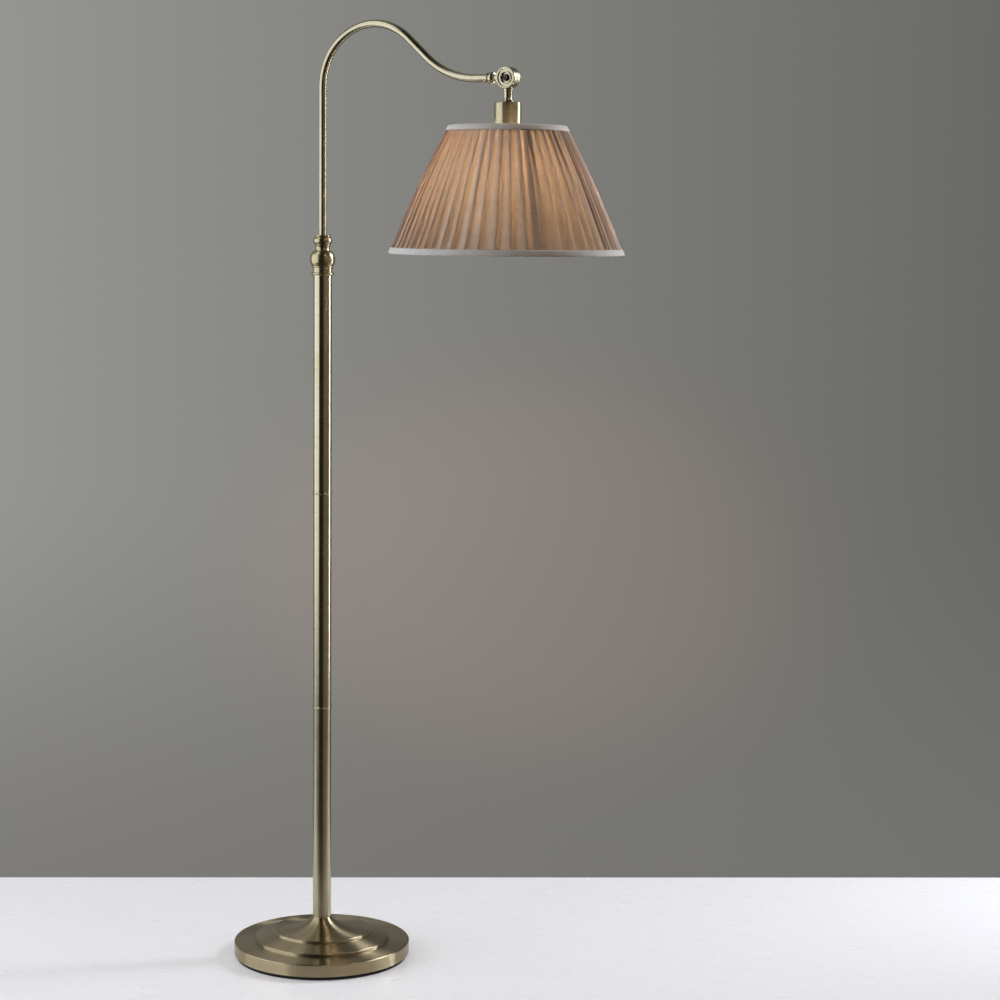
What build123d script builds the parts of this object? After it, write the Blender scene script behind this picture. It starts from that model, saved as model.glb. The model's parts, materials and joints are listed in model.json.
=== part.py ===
from build123d import *
import os
from math import cos, hypot, radians, sin, sqrt, tan

# Adjustable arm floor lamp, in millimetres.
# Origin: centre of the base's underside, on the pole's axis. +Z up, +X along the arm.

# ---- driving dimensions -------------------------------------------------------------
# base
PAD_R, PAD_H = 136.0, 6.0
BASE_R, BASE_RIM_Z = 140.0, 26.0
BASE_SHEET = 1.2
BASE_TOP_Z = 64.0
WEIGHT_R, WEIGHT_TOP_Z = 133.5, 23.5
CORD_HOLE_R, CORD_HOLE_Z = 3.5, 15.0
STUD_R, STUD_BORE_R, STUD_TOP_Z = 4.95, 3.4, 86.0
# pole: three equal screwed sections
POLE_R, POLE_WALL = 14.5, 1.2
SECTION_H = 341.7
BEAD_R, BEAD_H = 15.8, 3.0
SPIGOT_H = 18.0
COUPLER_BORE_R = 11.0
# swan-neck arm
ARM_R, ARM_WALL = 6.0, 1.0
ARM_FOOT_Z = 951.0
LIMB_TOP_Z = 1378.5
CROWN_R, CROWN_TURN = 93.6, 131.4
SLOPE_RUN = 44.5
SWEEP_R = 130.6
ARM_END_X = 303.0
# swivel between arm and lamp head
HEAD_X = 329.7
DISC_R, DISC_H, DISC_GAP = 16.0, 9.0, 0.3
BOLT_R = 2.45
WIRE_WAY_R, WIRE_WAY_Y = 2.2, 2.6
# lampholder and bulb, below the swivel
COVER_R, COVER_TOP_Z, COVER_BOTTOM_Z = 20.5, 1351.0, 1302.0
HOLDER_R, HOLDER_FOOT_Z = 18.8, 1291.0
BULB_R, BULB_CENTRE_Z = 30.0, 1238.0
# shade: a pleated cone on two wire rings
SHADE_TOP_R, SHADE_TOP_Z = 88.3, 1317.5
SHADE_FOOT_R, SHADE_FOOT_Z = 177.7, 1126.3
SHADE_BULGE = 2.5
TRIM_T, PLEAT_T, LINING_T = 0.8, 3.0, 0.5
TOP_TRIM_H, FOOT_TRIM_H = 8.2, 9.6
WIRE_R = 1.5
CARRIER_Z = 1300.5
# clearances
RUN = 0.05          # radial, where one piece turns or slides in another
FIT = 0.03          # radial, where two fixed pieces fit together
# inner lead
LEAD_R = 1.9
LEAD_LANE_X = -8.0

# ---- places worked out from them -----------------------------------------------------
POLE_BORE_R = POLE_R - POLE_WALL
SEAM_Z = [BASE_TOP_Z + SECTION_H * n for n in range(4)]
FINIAL_Z = SEAM_Z[3]
ARM_BORE_R = ARM_R - ARM_WALL

# The arm's corners, where its straight runs would meet if they had no bends between them.
DROP = radians(CROWN_TURN - 90)
CROWN_TANGENT = CROWN_R * tan(radians(CROWN_TURN) / 2)
SWEEP_TANGENT = SWEEP_R * tan(DROP / 2)
SLOPE_LENGTH = CROWN_TANGENT + SLOPE_RUN + SWEEP_TANGENT
CROWN_CORNER_Z = LIMB_TOP_Z + CROWN_TANGENT
SWEEP_CORNER_X = SLOPE_LENGTH * cos(DROP)
HEAD_Z = CROWN_CORNER_Z - SLOPE_LENGTH * sin(DROP)
HEAD = (HEAD_X, 0, HEAD_Z)
ARM_CORNERS = [(0, 0, CROWN_CORNER_Z), (SWEEP_CORNER_X, 0, HEAD_Z)]

nodes = {}


def piece(name, shape):
    """Keep a finished piece under its node's name."""
    nodes[name] = shape


# ---- shared shapes -------------------------------------------------------------------
def edges_through(start, *steps):
    """Edges from start: a step is a point, or a pair (way point, end point) for an arc."""
    edges, here = [], start
    for step in steps:
        if isinstance(step[0], tuple):
            edges.append(ThreePointArc(here, step[0], step[1]))
            here = step[1]
        elif step != here:
            edges.append(Line(here, step))
            here = step
    return edges


def turned(start, *steps, x=0.0):
    """Body of revolution about the vertical through x, from its (radius, height) outline."""
    edges = edges_through(start, *steps, start)
    solid = revolve(Plane.XZ * make_face(Curve() + edges), Axis.Z)
    return Pos(x, 0, 0) * solid


def tube(outer, inner, low, high, x=0.0):
    """Plain round tube or collar."""
    return turned((inner, low), (outer, low), (outer, high), (inner, high), x=x)


def rod(radius, low, high, x=0.0, y=0.0):
    """Plain round bar on a vertical axis."""
    return Pos(x, y, (low + high) / 2) * Cylinder(radius, high - low)


def along_x(radius, low, high, y=0.0, z=0.0):
    """Plain round bar along X, from x = low to x = high."""
    return Pos((low + high) / 2, y, z) * Rot(0, 90, 0) * Cylinder(radius, high - low)


def along_y(radius, low, high):
    """Plain round bar along the swivel's own axis, from y = low to y = high."""
    return Pos(HEAD_X, (low + high) / 2, HEAD_Z) * Rot(90, 0, 0) * Cylinder(radius, high - low)


def facing(shape, side):
    """Turn a part made standing up so that its top faces the -Y or +Y side of the swivel."""
    return Pos(*HEAD) * Rot(-90 * side, 0, 0) * shape


def bent_rod(radius, points, radii):
    """Round bar along straight runs joined by tangent arcs."""
    route = FilletPolyline(*points, radius=radii)
    return sweep((route ^ 0) * Circle(radius), path=route)


def hexagon(across_flats, low, high, hole_r):
    """Plain hexagon nut on the Z axis."""
    prism = extrude(RegularPolygon(across_flats / sqrt(3), 6), high - low)
    return Pos(0, 0, low) * (prism - rod(hole_r, 0, high - low))


# ---- base ----------------------------------------------------------------------------
def cover_outline(inset):
    """Edges of the base cover's outside, or of its inside when inset by the sheet."""
    def at(r, z):
        return (r - inset, z - inset)

    floor_z = PAD_H if inset == 0 else PAD_H - 1
    rim = BASE_R - inset
    edges = edges_through(
        (0, floor_z), (rim, floor_z), at(BASE_R, BASE_RIM_Z - 2),
        (at(139.4, 25.4), at(138, BASE_RIM_Z)),
        at(107.4, 27.3), at(106.6, 31.0), (at(106, 32.4), at(104.6, 32.9)),
        (at(91.5, 36.9), at(78.2, 40.0)),
        at(77.6, 42.6), (at(77, 44.0), at(75.6, 44.5)))
    flare = Bezier(at(75.6, 44.5), at(45, 44.7), at(24, 50), at(POLE_R, BASE_TOP_Z))
    top = edges_through(at(POLE_R, BASE_TOP_Z), (0, BASE_TOP_Z - inset), (0, floor_z))
    return edges + [flare] + top


def base_cover():
    """Pressed sheet cover: rim, two steps and a trumpet that meets the pole."""
    outside = revolve(Plane.XZ * make_face(Curve() + cover_outline(0)), Axis.Z)
    inside = revolve(Plane.XZ * make_face(Curve() + cover_outline(BASE_SHEET)), Axis.Z)
    cover = outside - inside - rod(STUD_R + 0.25, BASE_TOP_Z - 3, BASE_TOP_Z + 1)
    return cover - along_x(6.0, -BASE_R - 1, -BASE_R + 3, z=CORD_HOLE_Z)


def base_weight():
    """Cast disc with a nut pocket and a channel for the cord underneath."""
    disc = turned((STUD_R + 0.25, PAD_H), (WEIGHT_R - 1.5, PAD_H), (WEIGHT_R, PAD_H + 1.5),
                  (WEIGHT_R, WEIGHT_TOP_Z - 1.5), (WEIGHT_R - 1.5, WEIGHT_TOP_Z),
                  (STUD_R + 0.25, WEIGHT_TOP_Z))
    pocket = rod(20, PAD_H - 1, 13.5)
    channel = Pos(-WEIGHT_R / 2 - 8, 0, (PAD_H + 20) / 2 - 0.5) * Box(WEIGHT_R, 14, 15)
    return disc - pocket - channel


def cord_grommet():
    """Rubber bush in the rim's rear, where the supply cord would enter."""
    x = -BASE_R
    neck = along_x(5.9, x - 1, x + 3, z=CORD_HOLE_Z)
    outer = along_x(7.5, x - 1.6, x + 1, z=CORD_HOLE_Z) - rod(BASE_R, 0, BASE_RIM_Z)
    inner = along_x(7.5, x + 1, x + 3.4, z=CORD_HOLE_Z) & rod(BASE_R - BASE_SHEET, 0, BASE_RIM_Z)
    return neck + outer + inner - along_x(CORD_HOLE_R, x - 3, x + 5, z=CORD_HOLE_Z)


def make_base():
    piece("base_pad", rod(PAD_R, 0, PAD_H))
    piece("base_cover", base_cover())
    piece("base_weight", base_weight())
    piece("cord_grommet", cord_grommet())
    piece("base_stud", tube(STUD_R, STUD_BORE_R, PAD_H + 1, STUD_TOP_Z))
    piece("base_nut", hexagon(17, PAD_H + 1.2, 12, STUD_R + FIT))
    piece("base_washer", tube(13, STUD_R + 0.3, 12, 13.5))


# ---- pole ----------------------------------------------------------------------------
def pole_foot():
    """Plug in the pole's foot: seats on the trumpet and takes the base stud."""
    z = BASE_TOP_Z
    return turned((STUD_R + FIT, z), (POLE_R + 0.3, z), (POLE_R + 0.3, z + 1.6),
                  (POLE_BORE_R - FIT, z + 1.6), (POLE_BORE_R - FIT, z + 22),
                  (POLE_BORE_R - 1.5, z + 23.5), (STUD_R + FIT, z + 23.5))


def pole_coupler(z):
    """Threaded joiner between two sections; its bead is the ring seen on the pole."""
    low, high, spigot_r = z - BEAD_H / 2, z + BEAD_H / 2, POLE_BORE_R - FIT
    return turned((COUPLER_BORE_R, low - SPIGOT_H), (spigot_r - 0.8, low - SPIGOT_H),
                  (spigot_r, low - SPIGOT_H + 0.8), (spigot_r, low),
                  (POLE_R, low), ((BEAD_R, z), (POLE_R, high)), (spigot_r, high),
                  (spigot_r, high + SPIGOT_H - 0.8), (spigot_r - 0.8, high + SPIGOT_H),
                  (COUPLER_BORE_R, high + SPIGOT_H))


def make_pole():
    piece("pole_foot", pole_foot())
    starts = [SEAM_Z[0] + 1.6, SEAM_Z[1] + BEAD_H / 2, SEAM_Z[2] + BEAD_H / 2]
    ends = [SEAM_Z[1] - BEAD_H / 2, SEAM_Z[2] - BEAD_H / 2, SEAM_Z[3]]
    for name, low, high in zip(("lower", "middle", "upper"), starts, ends):
        piece("pole_" + name, tube(POLE_R, POLE_BORE_R, low, high))
    piece("pole_coupler_lower", pole_coupler(SEAM_Z[1]))
    piece("pole_coupler_upper", pole_coupler(SEAM_Z[2]))
    lane = [(0, 0, PAD_H + 3), (0, 0, 100), (LEAD_LANE_X, 0, 150), (LEAD_LANE_X, 0, SEAM_Z[2] + 18)]
    piece("pole_lead", bent_rod(LEAD_R, lane, [280, 280]))


# ---- finial, collet and locking collar -------------------------------------------------
NECK_TOP_Z = FINIAL_Z + 47.4
MALE_THREAD_R = 9.9
COLLET_R = 8.0
CHAMBER_R = 12.0
CHAMBER_TOP_Z = FINIAL_Z + 35
STOP_HALF_ANGLE = 5.0


def finial_body():
    """Turned finial: flange, ring, ball and neck, with a chamber for the collet."""
    z = FINIAL_Z
    return turned(
        (CHAMBER_R, z - 18), (POLE_BORE_R - FIT, z - 18), (POLE_BORE_R - FIT, z),
        (16.6, z), ((17.8, z + 2), (16.6, z + 4)), (15.6, z + 4.2),
        (15.6, z + 11.8), (16.0, z + 12), ((16.7, z + 13), (16.4, z + 14.2)), (17.1, z + 14.4),
        ((19.8, z + 24), (14.5, z + 37.4)), (12.2, z + 37.8),
        ((11.0, z + 42), (12.0, z + 45.8)), ((12.6, z + 46.7), (12.2, NECK_TOP_Z)),
        (MALE_THREAD_R, NECK_TOP_Z), (MALE_THREAD_R, NECK_TOP_Z + 7),
        (COLLET_R + RUN, NECK_TOP_Z + 7), (COLLET_R + RUN, CHAMBER_TOP_Z),
        (CHAMBER_R, CHAMBER_TOP_Z))


def sector(inner, outer, low, high, middle_deg):
    """Block that fills a small angle of a ring."""
    ring = tube(outer, inner, low, high)
    reach = 2 * outer
    half_width = reach * tan(radians(STOP_HALF_ANGLE))
    wedge = Polyline((0, 0), (reach, -half_width), (reach, half_width), (0, 0))
    return ring & (Rot(0, 0, middle_deg) * Pos(0, 0, low) * extrude(make_face(wedge), high - low))


def collet_retainer():
    """Ring that holds the collet in, with the lug that stops the arm's swivel."""
    top = CHAMBER_TOP_Z - 5.5
    ring = tube(CHAMBER_R - FIT, COLLET_R + 0.5, top - 5, top)
    return ring + sector(9.6, CHAMBER_R - FIT, top - 0.5, CHAMBER_TOP_Z - 0.2, 180)


def arm_collet():
    """Split nylon collet that grips the arm; its tooth meets the retainer's lug."""
    low, nose = CHAMBER_TOP_Z - 24, NECK_TOP_Z + 7
    flange = CHAMBER_TOP_Z - 5.0
    body = turned((ARM_R + RUN, low), (COLLET_R, low), (COLLET_R, flange), (9.1, flange),
                  (9.1, CHAMBER_TOP_Z - 0.2), (COLLET_R, CHAMBER_TOP_Z - 0.2), (COLLET_R, nose),
                  (7.2, nose + 3.6), (ARM_R + RUN, nose + 3.6))
    body += sector(9.0, CHAMBER_R - 0.5, flange, CHAMBER_TOP_Z - 0.2, 0)
    slot_h = 16
    slot = Pos(COLLET_R, 0, nose + 3.6 - slot_h / 2 + 0.5) * Box(8, 1.2, slot_h + 1)
    for n in range(3):
        body -= Rot(0, 0, 30 + 120 * n) * slot
    return body


def lock_collar():
    """Small ball nut: screwed down, its cone closes the collet on the arm."""
    z = NECK_TOP_Z + 0.1
    return turned(
        (MALE_THREAD_R + 0.1, z), (12.2, z), (12.7, z + 0.5), ((14.9, z + 5.7), (12.7, z + 11)),
        (12.0, z + 11.3), (12.1, z + 11.6), ((12.6, z + 12.8), (11.9, z + 14.2)),
        (10.6, z + 14.6), (10.2, z + 13.2), (6.5, z + 12.2), (6.5, z + 11.2),
        (7.7, z + 11), (8.6, z + 7.4), (MALE_THREAD_R + 0.1, z + 7.2))


def make_finial():
    piece("finial_body", finial_body())
    piece("collet_retainer", collet_retainer())
    piece("arm_collet", arm_collet())
    piece("lock_collar", lock_collar())


# ---- arm -----------------------------------------------------------------------------
def arm_route(foot_z, *tail):
    return [(0, 0, foot_z)] + ARM_CORNERS + list(tail)


def arm_tube():
    """Swan-neck tube: vertical limb, crown, slope and sweep to the level end."""
    route, bends = arm_route(ARM_FOOT_Z, (ARM_END_X, 0, HEAD_Z)), [CROWN_R, SWEEP_R]
    return bent_rod(ARM_R, route, bends) - bent_rod(ARM_BORE_R, route, bends)


def arm_ferrule():
    """Turned ferrule: bead and olive over the arm's end, bored for the swivel's neck."""
    u = ARM_END_X
    outline = turned(
        (ARM_R + FIT, u - 7.7), (7.4, u - 7.7), ((8.1, u - 6.4), (7.4, u - 5.1)),
        (7.1, u - 4.9), (7.1, u - 4.3), (7.9, u - 4.0), ((9.2, u - 0.2), (7.9, u + 3.6)),
        (6.9, u + 3.9), (6.7, u + 5.2), (5.63, u + 5.4), (5.63, u + 0.4), (ARM_R + FIT, u + 0.4))
    return Pos(0, 0, HEAD_Z) * Rot(0, 90, 0) * outline


def arm_bush():
    """Nylon guide on the arm's foot: slides in the upper section, stops under the finial."""
    low, high, outer = ARM_FOOT_Z + 2, ARM_FOOT_Z + 26, POLE_BORE_R - 2 * RUN
    return turned((ARM_R + FIT, low), (outer - 1, low), (outer, low + 1), (outer, low + 7),
                  (outer - 1.5, low + 8), (outer - 1.5, high - 8), (outer, high - 7),
                  (outer, high - 1), (outer - 1, high), (ARM_R + FIT, high))


def make_arm():
    piece("arm_tube", arm_tube())
    piece("arm_bush", arm_bush())
    piece("arm_clip", tube(8.5, ARM_R + FIT, ARM_FOOT_Z + 0.4, ARM_FOOT_Z + 1.9))
    piece("arm_ferrule", arm_ferrule())
    lane = arm_route(670, (300, 0, HEAD_Z), (310, WIRE_WAY_Y, HEAD_Z),
                     (HEAD_X - 10, WIRE_WAY_Y, HEAD_Z))
    piece("arm_lead", bent_rod(LEAD_R, lane, [CROWN_R, SWEEP_R, 30, 30]))


# ---- swivel --------------------------------------------------------------------------
def swivel_disc():
    """One half of the swivel, standing on its inner face: hollow inside for the lead."""
    top = DISC_H
    return turned(
        (BOLT_R + RUN, DISC_GAP), (8.8, DISC_GAP), (8.8, 5.6), (13.2, 5.6), (13.2, DISC_GAP),
        (DISC_R, DISC_GAP), (DISC_R, top - 1.2), ((15.65, top - 0.35), (14.8, top)),
        (13.4, top), (12.6, top - 0.6), (12.5, top - 1.9), (10.1, top - 1.9), (10.0, top - 0.8),
        ((8.8, top - 0.3), (7.5, top - 0.9)), (7.35, 5.0), (BOLT_R + RUN, 5.0))


def room_for_discs(side):
    """What a neck must leave free: the swivel's cavity and the other half's disc."""
    other = along_y(DISC_R + 0.4, -DISC_GAP, 12) if side < 0 else along_y(DISC_R + 0.4, -12, DISC_GAP)
    return along_y(14.2, -12, 12) + other


def knuckle_arm_half():
    """Rear half of the swivel, with the neck that screws into the ferrule."""
    disc = facing(swivel_disc(), 1)
    neck = along_x(5.6, ARM_END_X + 0.6, HEAD_X - 10, z=HEAD_Z) - room_for_discs(1)
    wire_way = along_x(WIRE_WAY_R, ARM_END_X + 5, HEAD_X - 9.5, y=WIRE_WAY_Y, z=HEAD_Z)
    wire_mouth = along_x(STUD_BORE_R, ARM_END_X, ARM_END_X + 10, y=WIRE_WAY_Y / 2, z=HEAD_Z)
    return disc + neck - wire_way - wire_mouth


def knuckle_lamp_half():
    """Front half of the swivel, with the waisted stem that the lampholder hangs from."""
    disc = facing(swivel_disc(), -1)
    z = COVER_TOP_Z
    stem = turned((0, z), (8.5, z), ((8.9, z + 0.9), (8.5, z + 1.8)), (8.1, z + 2.0),
                  ((6.5, z + 5.5), (6.25, z + 11)), ((6.4, z + 16), (7.2, z + 20)),
                  (7.2, z + 26), (0, z + 26), x=HEAD_X) - room_for_discs(-1)
    wire_way = rod(WIRE_WAY_R, z + 14, HEAD_Z - 9.5, x=HEAD_X, y=-WIRE_WAY_Y)
    wire_mouth = rod(STUD_BORE_R, z + 5, z + 17, x=HEAD_X, y=-WIRE_WAY_Y / 2)
    socket = rod(STUD_R + FIT, z - 1, z + 7.5, x=HEAD_X)
    return disc + stem - wire_way - wire_mouth - socket


def pivot_screw():
    """Pan-head screw with a cross slot; the lamp half turns on its shank."""
    shank = rod(BOLT_R, -8.3, 6.2)
    head = turned((0, 5.8), (4.8, 5.8), (4.8, 7.2), ((4.1, 8.2), (2.4, 8.7)), (0, 8.8))
    slots = Pos(0, 0, 8.4) * (Box(5.4, 1.1, 2.2) + Box(1.1, 5.4, 2.2))
    return facing(shank + head - slots, -1)


def make_swivel():
    piece("knuckle_arm_half", knuckle_arm_half())
    piece("knuckle_lamp_half", knuckle_lamp_half())
    piece("friction_washer", facing(tube(8.6, BOLT_R + 0.1, -DISC_GAP, DISC_GAP - 0.02), -1))
    piece("pivot_screw", pivot_screw())
    piece("spring_washer", facing(tube(5.4, BOLT_R + 0.1, 5.02, 5.76), -1))
    piece("pivot_nut", facing(hexagon(8, 5.0, 8.6, BOLT_R + FIT), 1))


# ---- lampholder and bulb ---------------------------------------------------------------
THREAD_PITCH = 2.6


def thread_rings(root_r, crest, low, turns, pitch):
    """Outline steps, going up, of a rounded thread drawn as plain rings."""
    steps = [(root_r, low)]
    for n in range(turns):
        z = low + n * pitch
        steps.append(((root_r + crest, z + pitch / 2), (root_r, z + pitch)))
    return steps


def holder_cover():
    """Spun cup over the lampholder."""
    top, low, inner = COVER_TOP_Z, COVER_BOTTOM_Z, COVER_R - 1.0
    return turned((inner, low), (COVER_R, low), (COVER_R, top - 2.5),
                  ((COVER_R - 0.7, top - 0.7), (COVER_R - 2.5, top)), (STUD_R + 0.15, top),
                  (STUD_R + 0.15, top - 1.2), (inner - 1.6, top - 1.2),
                  ((inner - 0.5, top - 1.7), (inner, top - 2.8)), x=HEAD_X)


def lampholder_cap():
    """Moulded dome of the lampholder, screwed to the nipple."""
    top = COVER_TOP_Z - 1.3
    return turned((STUD_R + FIT, top), (9, top), ((16.2, top - 3.2), (HOLDER_R, top - 10)),
                  (HOLDER_R, top - 33), (16.4, top - 33), (16.4, top - 14), (STUD_R + FIT, top - 8),
                  x=HEAD_X)


def lampholder_skirt():
    """Threaded skirt around the bulb's cap; the shade ring screws on to it."""
    low, shoulder = HOLDER_FOOT_Z, COVER_TOP_Z - 34.4
    thread = thread_rings(HOLDER_R - 0.1, 0.55, low + 1, 4, THREAD_PITCH)
    return turned((14.4, low), (HOLDER_R - 0.1, low), *thread, (HOLDER_R, low + 12),
                  (HOLDER_R, shoulder), (16.3, shoulder), (16.3, shoulder + 9),
                  (14.4, shoulder + 9), x=HEAD_X)


def shade_ring():
    """Ring nut that clamps the shade's carrier up against the cover."""
    low, top = HOLDER_FOOT_Z + 1, CARRIER_Z - 1.5
    ring = turned((HOLDER_R + 0.5, low), (23, low), (23.8, low + 0.8), (23.8, top - 2.4),
                  (26, top - 2.2), (26, top), (HOLDER_R + 0.5, top), x=HEAD_X)
    grips = 20
    for n in range(grips):
        grip = Rot(0, 0, 360 / grips * n) * Pos(24.3, 0, 0) * rod(1.1, low - 1, top - 2.4)
        ring -= Pos(HEAD_X, 0, 0) * grip
    return ring


def bulb_cap():
    """Screw cap with its thread and end contact."""
    low = HOLDER_FOOT_Z - 2
    thread = thread_rings(12.4, 0.7, low + 3, 6, 3.0)
    return turned((0, low), (13.1, low), (13.1, low + 2.4), *thread, (9.5, low + 22.5),
                  (4.8, low + 23.2), (4.6, low + 24.4), (0, low + 24.4), x=HEAD_X)


def bulb_body():
    """Moulded housing between the cap and the globe."""
    low, top = BULB_CENTRE_Z + 12, HOLDER_FOOT_Z - 2
    wide = sqrt(BULB_R ** 2 - 12 ** 2)
    return turned((0, low), (wide, low), ((22.2, low + 20), (14.6, top - 2)), (14.0, top),
                  (0, top), x=HEAD_X)


def bulb_globe():
    """Frosted globe, hollow, closed by the housing."""
    c, wall, rim = BULB_CENTRE_Z, 1.4, 12.0
    outer_rim = sqrt(BULB_R ** 2 - rim ** 2)
    inner_r = BULB_R - wall
    inner_rim = sqrt(inner_r ** 2 - rim ** 2)
    slant = sqrt(0.5)
    return turned((0, c - BULB_R), ((BULB_R * slant, c - BULB_R * slant), (BULB_R, c)),
                  ((sqrt(BULB_R ** 2 - 36), c + 6), (outer_rim, c + rim)), (inner_rim, c + rim),
                  ((sqrt(inner_r ** 2 - 36), c + 6), (inner_r, c)),
                  ((inner_r * slant, c - inner_r * slant), (0, c - inner_r)), x=HEAD_X)


def make_lampholder():
    z = COVER_TOP_Z
    piece("lamp_nipple", tube(STUD_R, STUD_BORE_R, z - 11, z + 7, x=HEAD_X))
    piece("holder_cover", holder_cover())
    piece("lampholder_cap", lampholder_cap())
    piece("lampholder_skirt", lampholder_skirt())
    insert = tube(14.2, 3.2, z - 34.5, z - 27, x=HEAD_X)
    piece("holder_insert", insert)
    piece("centre_contact", rod(3.1, z - 37.4, z - 27, x=HEAD_X))
    piece("screw_shell", tube(14.1, 13.5, HOLDER_FOOT_Z + 2, z - 34.7, x=HEAD_X))
    piece("shade_ring", shade_ring())
    piece("bulb_cap", bulb_cap())
    piece("bulb_body", bulb_body())
    piece("bulb_globe", bulb_globe())
    lane = [(HEAD_X, -WIRE_WAY_Y, HEAD_Z - 10.2), (HEAD_X, -WIRE_WAY_Y, z + 15),
            (HEAD_X, 0, z + 7), (HEAD_X, 0, z - 26)]
    piece("head_lead", bent_rod(LEAD_R, lane, [20, 20]))


# ---- shade ---------------------------------------------------------------------------
SHADE_SLOPE = (SHADE_FOOT_R - SHADE_TOP_R) / (SHADE_TOP_Z - SHADE_FOOT_Z)
ACROSS = hypot(1, SHADE_SLOPE)    # level width of a layer, for each millimetre of its thickness


def wall_point(z, depth, bulge=0.0):
    """Point (radius, height) of the shade's wall, depth below its outermost surface."""
    return (SHADE_TOP_R + (SHADE_TOP_Z - z) * SHADE_SLOPE - depth * ACROSS + bulge, z)


def wall_layer(outer, inner, low, high):
    """Conical layer between two depths: straight under the trims, gently bulged between them."""
    foot, head = SHADE_FOOT_Z + FOOT_TRIM_H + 0.2, SHADE_TOP_Z - TOP_TRIM_H - 0.2
    middle = (foot + head) / 2
    return turned(wall_point(low, inner), wall_point(low, outer), wall_point(foot, outer),
                  (wall_point(middle, outer, SHADE_BULGE), wall_point(head, outer)),
                  wall_point(high, outer), wall_point(high, inner), wall_point(head, inner),
                  (wall_point(middle, inner, SHADE_BULGE), wall_point(foot, inner)), x=HEAD_X)


def edge_trim(edge_z, reach, inner_reach, inner_depth):
    """Tape folded over the shade's edge: outer leg, cap and inner leg."""
    cap_z = edge_z + TRIM_T * (1 if reach > 0 else -1)
    return turned(wall_point(edge_z, 0), wall_point(edge_z + reach, 0),
                  wall_point(edge_z + reach, TRIM_T), wall_point(cap_z, TRIM_T),
                  wall_point(cap_z, inner_depth), wall_point(edge_z + inner_reach, inner_depth),
                  wall_point(edge_z + inner_reach, inner_depth + TRIM_T),
                  wall_point(edge_z, inner_depth + TRIM_T), x=HEAD_X)


def wire_ring(z, depth):
    r, _ = wall_point(z, depth)
    return Pos(HEAD_X, 0, z) * Torus(r, WIRE_R)


def carrier_struts(radius, wire_z, wire_depth):
    """Three bent wires that rise from the carrier ring to the top wire."""
    wire_x, _ = wall_point(wire_z, wire_depth)
    strut = bent_rod(radius, [(24, 0, CARRIER_Z), (46, 0, CARRIER_Z + 0.6), (wire_x, 0, wire_z)], [60])
    return [Pos(HEAD_X, 0, 0) * Rot(0, 0, 30 + 120 * n) * strut for n in range(3)]


def shade_carrier(wire_z, wire_depth):
    """Ring that sits on the lampholder, with the struts that are welded to the top wire."""
    carrier = tube(25, HOLDER_R + 0.9, CARRIER_Z - 1.5, CARRIER_Z + 1.5, x=HEAD_X)
    for strut in carrier_struts(WIRE_R - 0.1, wire_z, wire_depth):
        carrier += strut
    return carrier - wire_ring(wire_z, wire_depth)


def make_shade():
    lining_in = TRIM_T + PLEAT_T + LINING_T
    wire_depth = lining_in + WIRE_R + 0.1
    trim_in = wire_depth + WIRE_R + 0.1
    low, high = SHADE_FOOT_Z + TRIM_T, SHADE_TOP_Z - TRIM_T
    top_wire_z, foot_wire_z = high - WIRE_R - 0.2, low + WIRE_R + 0.2
    piece("shade_fabric", wall_layer(TRIM_T, TRIM_T + PLEAT_T, low, high))
    piece("shade_lining", wall_layer(TRIM_T + PLEAT_T, lining_in, low, high))
    top_trim = edge_trim(SHADE_TOP_Z, -TOP_TRIM_H, -5.5, trim_in)
    for notch in carrier_struts(WIRE_R + 0.2, top_wire_z, wire_depth):
        top_trim -= notch
    piece("shade_top_trim", top_trim)
    piece("shade_foot_trim", edge_trim(SHADE_FOOT_Z, FOOT_TRIM_H, 6.0, trim_in))
    piece("shade_carrier", shade_carrier(top_wire_z, wire_depth))
    piece("shade_top_wire", wire_ring(top_wire_z, wire_depth))
    piece("shade_foot_wire", wire_ring(foot_wire_z, wire_depth))


# ---- build ---------------------------------------------------------------------------
for make in (make_base, make_pole, make_finial, make_arm, make_swivel, make_lampholder, make_shade):
    make()

os.makedirs("parts", exist_ok=True)
for name, shape in nodes.items():
    export_step(shape, "parts/" + name + ".step")
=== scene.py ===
import bmesh
import bpy
import json
import random
from math import atan2, cos, hypot, pi, radians, sin, tau
from mathutils import Matrix, Vector, noise


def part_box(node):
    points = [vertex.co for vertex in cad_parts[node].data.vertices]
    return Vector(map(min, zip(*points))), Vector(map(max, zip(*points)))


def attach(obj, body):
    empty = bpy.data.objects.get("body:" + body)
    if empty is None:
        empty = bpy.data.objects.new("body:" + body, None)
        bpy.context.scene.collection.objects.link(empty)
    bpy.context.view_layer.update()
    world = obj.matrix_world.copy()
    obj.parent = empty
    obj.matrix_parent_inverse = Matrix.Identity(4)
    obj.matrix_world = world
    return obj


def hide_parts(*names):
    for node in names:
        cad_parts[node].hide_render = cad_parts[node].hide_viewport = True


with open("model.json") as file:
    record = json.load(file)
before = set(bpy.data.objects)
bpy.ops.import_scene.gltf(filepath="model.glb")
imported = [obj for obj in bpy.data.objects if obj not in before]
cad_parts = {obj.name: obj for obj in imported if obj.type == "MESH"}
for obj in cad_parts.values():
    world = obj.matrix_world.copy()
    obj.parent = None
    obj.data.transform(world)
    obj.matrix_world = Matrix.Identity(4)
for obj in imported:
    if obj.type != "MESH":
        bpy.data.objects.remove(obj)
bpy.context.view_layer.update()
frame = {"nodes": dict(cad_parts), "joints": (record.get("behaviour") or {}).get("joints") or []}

# Adjustable arm floor lamp: finishes, soft parts, floor, lights and camera.
# Lengths are in metres. The pole's axis is x = y = 0, +Z is up and +X runs along the arm.
scene = bpy.context.scene
UP = Vector((0, 0, 1))
mm = 0.001

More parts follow.
